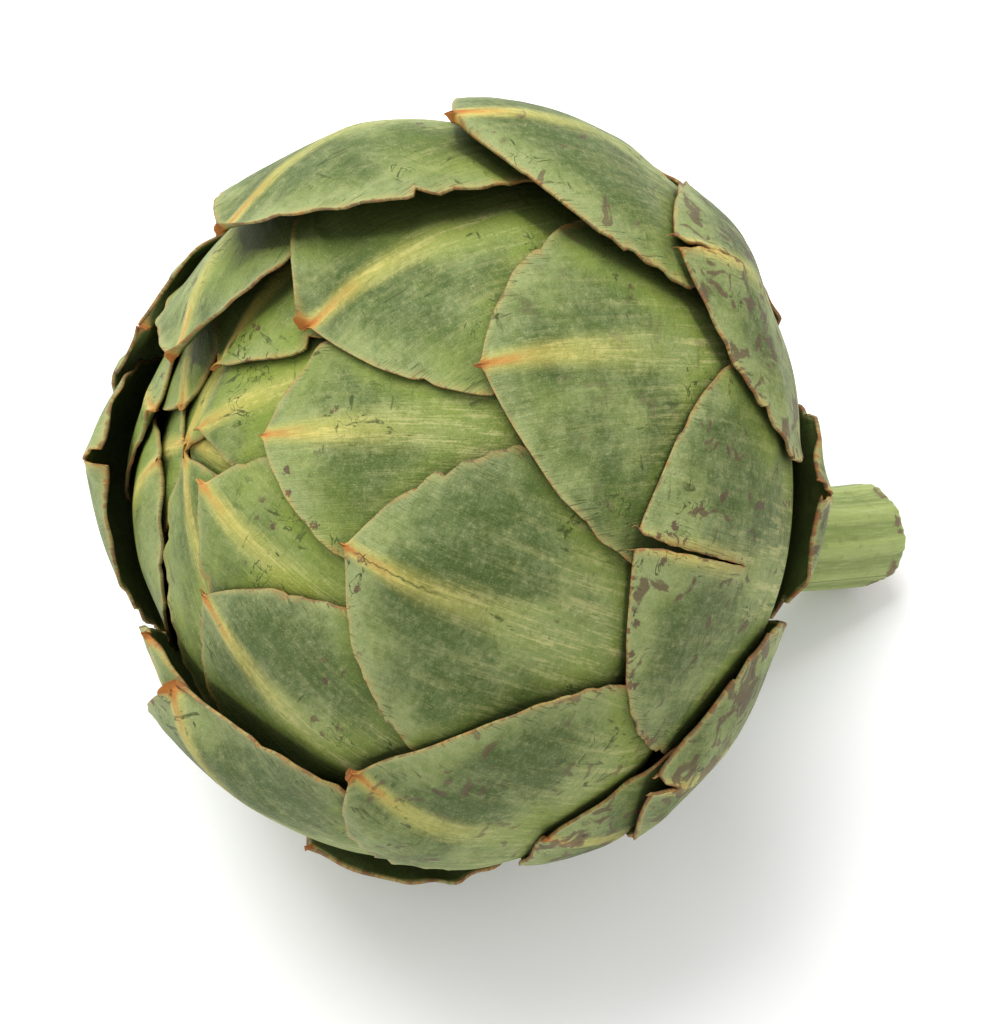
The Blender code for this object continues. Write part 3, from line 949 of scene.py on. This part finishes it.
# %% Spots, blots and cracks
def spots_and_blots(colour):
    """Brown spots on worn places, and larger blots on the outer bracts."""
    spots = skin.node("ShaderNodeTexVoronoi", {}, Vector=skin.flat, Scale=0.36, output="Distance")
    worn = skin.noise(skin.flat, 0.07, 2.0) + skin.age.between(-2.0, -14.0) * 0.10
    spot = (spots + (skin.mottle - 0.5) * 0.9).between(0.20, 0.11) * worn.between(0.60, 0.66)
    colour = skin.mix(spot * 0.85, colour, BRUISE)
    blot = skin.noise(skin.flat, 0.30, 3.0, 0.55, 0.8) + skin.mottle * 0.16
    blot = (blot + skin.age.between(-4.0, -18.0) * 0.12).between(0.68, 0.74)
    return skin.mix(blot * skin.age.between(4.0, -6.0) * 0.75, colour, BRUISE)


def cracks(colour):
    """Short cracks in from the margin, and the cracked midrib."""
    crack = (skin.along_blade(2.2, 0.10, 20, 1.0, 0.4) - 0.5).size().between(0.020, 0.006)
    crack = crack * (skin.edge + skin.cloud * 9).between(7.2, 6.0)
    colour = skin.mix(crack * skin.down.between(2.0, 5.0) * 0.7, colour, SCUFF)
    wander = (skin.noise(skin.flat, 0.8, 2.0) - 0.5) * 1.6
    split = (skin.aside + wander).size().between(0.20, 0.05) * skin.stored("crack")
    split = split * skin.down.between(0.6, 2.0) * skin.down.between(15.0, 8.0)
    return skin.mix(split * 0.7, colour, SCUFF)


colour = cracks(spots_and_blots(colour))
print("with its spots and cracks it has", len(skin.tree.nodes), "nodes")

# %% [markdown]
# ## The margin, and the finished skin
#
# The margin is dry and brown in a line well under a millimetre wide, with a
# rusty blush here and there beside it. The inner face of a bract, which shows
# where a tip stands off the head, is painted a plain dark green as painted
# shade. Only the fibres, the mottle and the grain are raised: more would cost
# much time and hardly show.

# %% Margin, relief and roughness
def dry_margin_and_inner_shade(colour):
    """A thin dry edge with a blush beside it, and painted shade on the inner face."""
    browns = skin.mix(skin.patch.between(0.4, 0.6), DRY_BROWN, RUST)
    colour = skin.mix(skin.dry * (0.72 - skin.tender * 0.35), colour, browns)
    blush = (skin.edge + skin.mottle * 3.0).between(2.9, 1.1) * (1 - skin.dry)
    colour = skin.mix(blush * skin.patch.between(0.38, 0.6) * 0.32, colour, RUST)
    # Painted shade: the inner face of a lifted tip is coloured dark green for the shadow on it.
    return skin.mix(skin.inside * skin.edge.between(0.2, 0.9) * 0.9, colour, INNER_FACE_PAINTED_SHADE)


relief = skin.streak * 0.34 + skin.thread * 0.16 + skin.mottle * 0.36 + skin.grain * 0.12
roughness = 0.56 + skin.mottle * 0.14 + skin.dry * 0.15 - bloom * 0.05
skin.finish(dry_margin_and_inner_shade(colour), roughness, skin.bump(relief, 0.6 * MM, 0.9))
skin.shader.inputs["Specular IOR Level"].default_value = 0.18
for thing in (outer_bracts, middle_bracts, tender_bracts):
    thing.data.materials.append(skin.material)
print("the bracts' finish has", len(skin.tree.nodes), "nodes")

# %% [markdown]
# ## The heart's and the stem's finish
#
# The heart is pale flesh, but it is only seen in shade, so it is kept a dark
# olive with fine lengthwise streaks. The stem is a lighter, yellower green
# than the bracts. Its ribs are paler than the grooves between them, fine
# fibres run along it, and its cut end has dried: brown at the rim, pale and
# fibrous in the middle.

# %% The heart's flesh
HEART_DEEP_PAINTED_SHADE = paint(46, 60, 26)
HEART_PAINTED_SHADE = paint(70, 86, 40)
HEART_STREAK = paint(92, 104, 58)
HEART_APEX = paint(172, 154, 72)


def heart_finish():
    """Pale flesh painted as dark olive shade, with fine streaks, ochre at the apex."""
    recipe = Recipe("heart_flesh")
    along = recipe.stored("along")
    point = recipe.node("ShaderNodeTexCoord", {}, output="Object")
    streak = recipe.noise(point, 900.0, 4.0, 0.7)
    cloud = recipe.noise(point, 90.0, 3.0, 0.5)
    # Painted shade: the pale flesh is coloured dark olive, as it only shows in shade.
    colour = recipe.mix(cloud, HEART_DEEP_PAINTED_SHADE, HEART_PAINTED_SHADE)
    colour = recipe.mix(streak.between(0.4, 0.7) * (0.3 + along * 0.3), colour, HEART_STREAK)
    colour = recipe.mix(along.between(0.14, 0.04), colour, HEART_APEX)
    return recipe.finish(colour, 0.6 + streak * 0.2, recipe.bump(streak, 0.4 * MM))


heart.data.materials.append(heart_finish())
print("the heart wears", heart.data.materials[0].name)

# %% The stem's skin and its dried cut
GROOVE = paint(116, 132, 58)
RIB = paint(142, 156, 80)
STEM_FIBRE = paint(168, 176, 112)
STEM_MOTTLE = paint(104, 112, 50)
WORN_RIM = paint(96, 66, 40)
CUT_PITH = paint(168, 164, 112)
CUT_RIND = paint(112, 84, 52)
CUT_MOTTLE = paint(136, 120, 74)


def stem_finish():
    """Yellow-green ribs and grooves, and a dried cut."""
    recipe = Recipe("stem_skin")
    back = recipe.stored("back")
    radial = recipe.stored("radial")
    turn = recipe.stored("turn")
    rib = (turn * STEM_RIBS).maths("COSINE").between(-0.8, 0.9)
    cosine = turn.maths("COSINE")
    sine = turn.maths("SINE")
    fibre = recipe.noise(recipe.vector(cosine * 8, sine * 8, back * 0.12), 2.2, 4.0, 0.6)
    mottle = recipe.noise(recipe.node("ShaderNodeTexCoord", {}, output="Object"), 450.0, 4.0, 0.65)
    colour = recipe.mix(rib, GROOVE, RIB)
    colour = recipe.mix(fibre.between(0.42, 0.70) * 0.35, colour, STEM_FIBRE)
    colour = recipe.mix(mottle.between(0.55, 0.7) * 0.45, colour, STEM_MOTTLE)
    worn = recipe.noise(recipe.vector(cosine * 2, sine * 2, back * 0.3), 1.0, 3.0, 0.6)
    browned = (back + mottle * 2.4 - worn.between(0.45, 0.6) * 3.0).between(1.6, 0.2)
    colour = recipe.mix(browned * 0.85, colour, WORN_RIM)
    rings = recipe.noise(recipe.vector(radial * 14, turn * 0.5, 0.0), 1.0, 3.0, 0.6)
    flesh = recipe.mix((radial + rings * 0.3).between(0.75, 1.1), CUT_PITH, CUT_RIND)
    flesh = recipe.mix(mottle.between(0.45, 0.6) * 0.5, flesh, CUT_MOTTLE)
    colour = recipe.mix(radial.between(0.999, 0.97), colour, flesh)
    relief = fibre * 0.6 + mottle * 0.4
    return recipe.finish(colour, 0.48 + mottle * 0.2, recipe.bump(relief, 0.4 * MM))


stem.data.materials.append(stem_finish())
print("finishes:", [material.name for material in bpy.data.materials if material.users])

# %% [markdown]
# ## The stage
#
# The artichoke lies on a white table under a large soft light from the upper
# left, as in a shop's light tent. The sky is white as well, so the shadow is
# pale and only dark close to where the head and the stem's end touch.

# %% Floor and light
def make_floor():
    """A wide white floor just under the artichoke."""
    work = bmesh.new()
    bmesh.ops.create_grid(work, x_segments=8, y_segments=8, size=1.5)
    mesh = bpy.data.meshes.new("floor")
    work.to_mesh(mesh)
    work.free()
    thing = bpy.data.objects.new("floor", mesh)
    bpy.context.scene.collection.objects.link(thing)
    recipe = Recipe("white_table")
    recipe.connect(paint(252, 252, 252), recipe.shader.inputs["Base Color"])
    recipe.shader.inputs["Roughness"].default_value = 0.9
    recipe.shader.inputs["Specular IOR Level"].default_value = 0.0
    thing.data.materials.append(recipe.material)
    thing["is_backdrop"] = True
    return thing


def aim_at(thing, target):
    """Turns a light or camera so that it looks at a point."""
    away = Vector(thing.location) - Vector(target)
    thing.rotation_euler = away.to_track_quat("Z", "Y").to_euler()


def add_lamp(name, location, size, watts):
    """A square soft light aimed at the head."""
    data = bpy.data.lights.new(name, "AREA")
    data.size = size
    data.energy = watts
    lamp = bpy.data.objects.new(name, data)
    lamp.location = location
    bpy.context.scene.collection.objects.link(lamp)
    aim_at(lamp, CENTRE)
    return lamp


make_floor()
add_lamp("key", (-0.16, 0.42, 0.92), 0.75, 11.0)
world = bpy.data.worlds.new("sky")
bpy.context.scene.world = world
world.use_nodes = True
world.node_tree.nodes["Background"].inputs["Color"].default_value = (1, 1, 1, 1)
world.node_tree.nodes["Background"].inputs["Strength"].default_value = 0.9
bpy.context.scene.view_settings.view_transform = "Standard"

# %% [markdown]
# ## The camera
#
# The camera looks down on the head from about sixty degrees, close enough
# that the perspective is felt: it is only some three and a half head widths
# away. The lens is long to match.

# %% The camera
AZIMUTH = math.radians(-10)
ELEVATION = math.radians(60)
DISTANCE = 357 * MM
LENS = 93.8

back = Vector((math.sin(AZIMUTH) * math.cos(ELEVATION), -math.cos(AZIMUTH) * math.cos(ELEVATION),
               math.sin(ELEVATION)))
camera_data = bpy.data.cameras.new("camera")
camera_data.lens = LENS
camera_data.sensor_width = 36
camera_data.shift_x = 0.0156
camera_data.shift_y = -0.0186
camera = bpy.data.objects.new("camera", camera_data)
camera.location = Vector(CENTRE) + back * DISTANCE
bpy.context.scene.collection.objects.link(camera)
aim_at(camera, CENTRE)
bpy.context.scene.camera = camera
print("the camera is at", [round(side, 3) for side in camera.location])

# Both boxes are printed.

boxes = {
    "cad": [[float(side) for side in corner] for corner in cad_box],
    "visual": [[float(side) for side in corner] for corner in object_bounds()],
}
for name, corners in boxes.items():
    print(name, [[round(side / MM, 1) for side in corner] for corner in corners])
